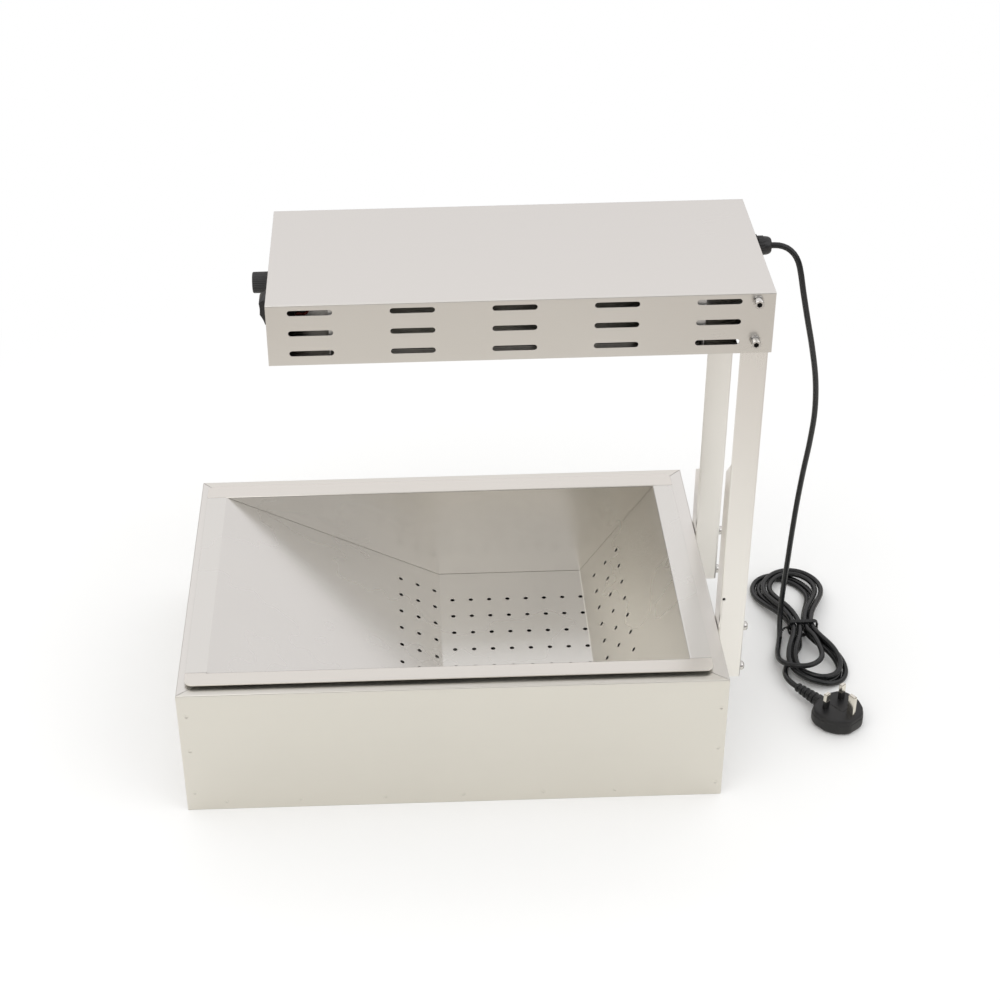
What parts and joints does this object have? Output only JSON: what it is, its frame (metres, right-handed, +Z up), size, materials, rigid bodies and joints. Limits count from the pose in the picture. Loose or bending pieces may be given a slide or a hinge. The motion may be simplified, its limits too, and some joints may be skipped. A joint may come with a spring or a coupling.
{
  "type": "chip warmer",
  "caption": "Counter-top chip warmer: box base with a lift-out perforated hopper pan, and a side-mounted radiant heater hood on two posts, with a hanked supply cord.",
  "frame": {"origin": "centre of the base's footprint, on the surface it stands on", "axes": "+X toward the posts' side (right, seen from the front), +Y to the rear, +Z up"},
  "size_m": [0.6549, 0.35, 0.4897],
  "materials": {
    "brushed_steel": "brushed stainless sheet",
    "bright_steel": "bright steel",
    "black_plastic": "moulded, satin",
    "black_rubber": "smooth PVC sheath",
    "porcelain": "unglazed ceramic",
    "quartz": "milky quartz",
    "pin_metal": "bright plated pins",
    "red_wire": "insulated wire",
    "blue_wire": "insulated wire"
  },
  "bodies": {
    "body": {"base_front_panel": "brushed_steel", "base_rear_panel": "brushed_steel", "base_left_panel": "brushed_steel", "base_right_panel": "brushed_steel", "base_floor_tray": "brushed_steel", "front_post": "brushed_steel", "rear_post": "brushed_steel", "post_tie_plate": "brushed_steel", "front_post_upper_screw": "bright_steel", "front_post_upper_nut": "bright_steel", "front_post_lower_screw": "bright_steel", "front_post_lower_nut": "bright_steel", "rear_post_upper_screw": "bright_steel", "rear_post_upper_nut": "bright_steel", "rear_post_lower_screw": "bright_steel", "rear_post_lower_nut": "bright_steel", "hood_cover": "brushed_steel", "hood_left_end_panel": "brushed_steel", "hood_right_end_panel": "brushed_steel", "hood_bottom_plate": "brushed_steel", "guard_grille": "bright_steel", "reflector": "bright_steel", "left_partition": "brushed_steel", "right_partition": "brushed_steel", "left_ceramic_cap": "porcelain", "right_ceramic_cap": "porcelain", "quartz_tube": "quartz", "hood_upper_screw": "bright_steel", "hood_lower_screw": "bright_steel", "regulator_body": "black_plastic", "regulator_nut": "bright_steel", "rocker_switch_body": "black_plastic", "gland_body": "black_plastic", "gland_dome_nut": "black_plastic", "gland_locknut": "black_plastic", "terminal_block": "porcelain", "wire_live": "red_wire", "wire_neutral": "blue_wire", "wire_regulator": "red_wire", "wire_element": "blue_wire", "cord_inlet": "black_rubber", "cord_hank": "black_rubber", "cord_drop": "black_rubber", "cord_tail": "black_rubber", "cord_tie": "black_rubber", "plug_body": "black_plastic", "plug_strain_relief": "black_rubber", "plug_live_pin": "pin_metal", "plug_neutral_pin": "pin_metal", "plug_earth_pin": "pin_metal"},
    "pan": {"pan_left_slope": "brushed_steel", "pan_right_slope": "brushed_steel", "pan_floor_plate": "brushed_steel", "pan_front_wall": "brushed_steel", "pan_rear_wall": "brushed_steel"},
    "knob": {"knob": "black_plastic", "regulator_spindle": "bright_steel"},
    "rocker": {"rocker": "black_plastic"}
  },
  "joints": [
    {"name": "pan_lift", "type": "slide", "parent": "body", "child": "pan", "axis": [0, 0, 1], "range_m": [0, 0.15]},
    {"name": "knob_turn", "type": "hinge", "parent": "body", "child": "knob", "pos_m": [-0.15, 0.006, 0.457], "axis": [-1, 0, 0], "range_deg": [0, 270]},
    {"name": "rocker_tilt", "type": "hinge", "parent": "body", "child": "rocker", "pos_m": [-0.1495, -0.045, 0.4585], "axis": [0, 1, 0], "range_deg": [0, 24]}
  ]
}
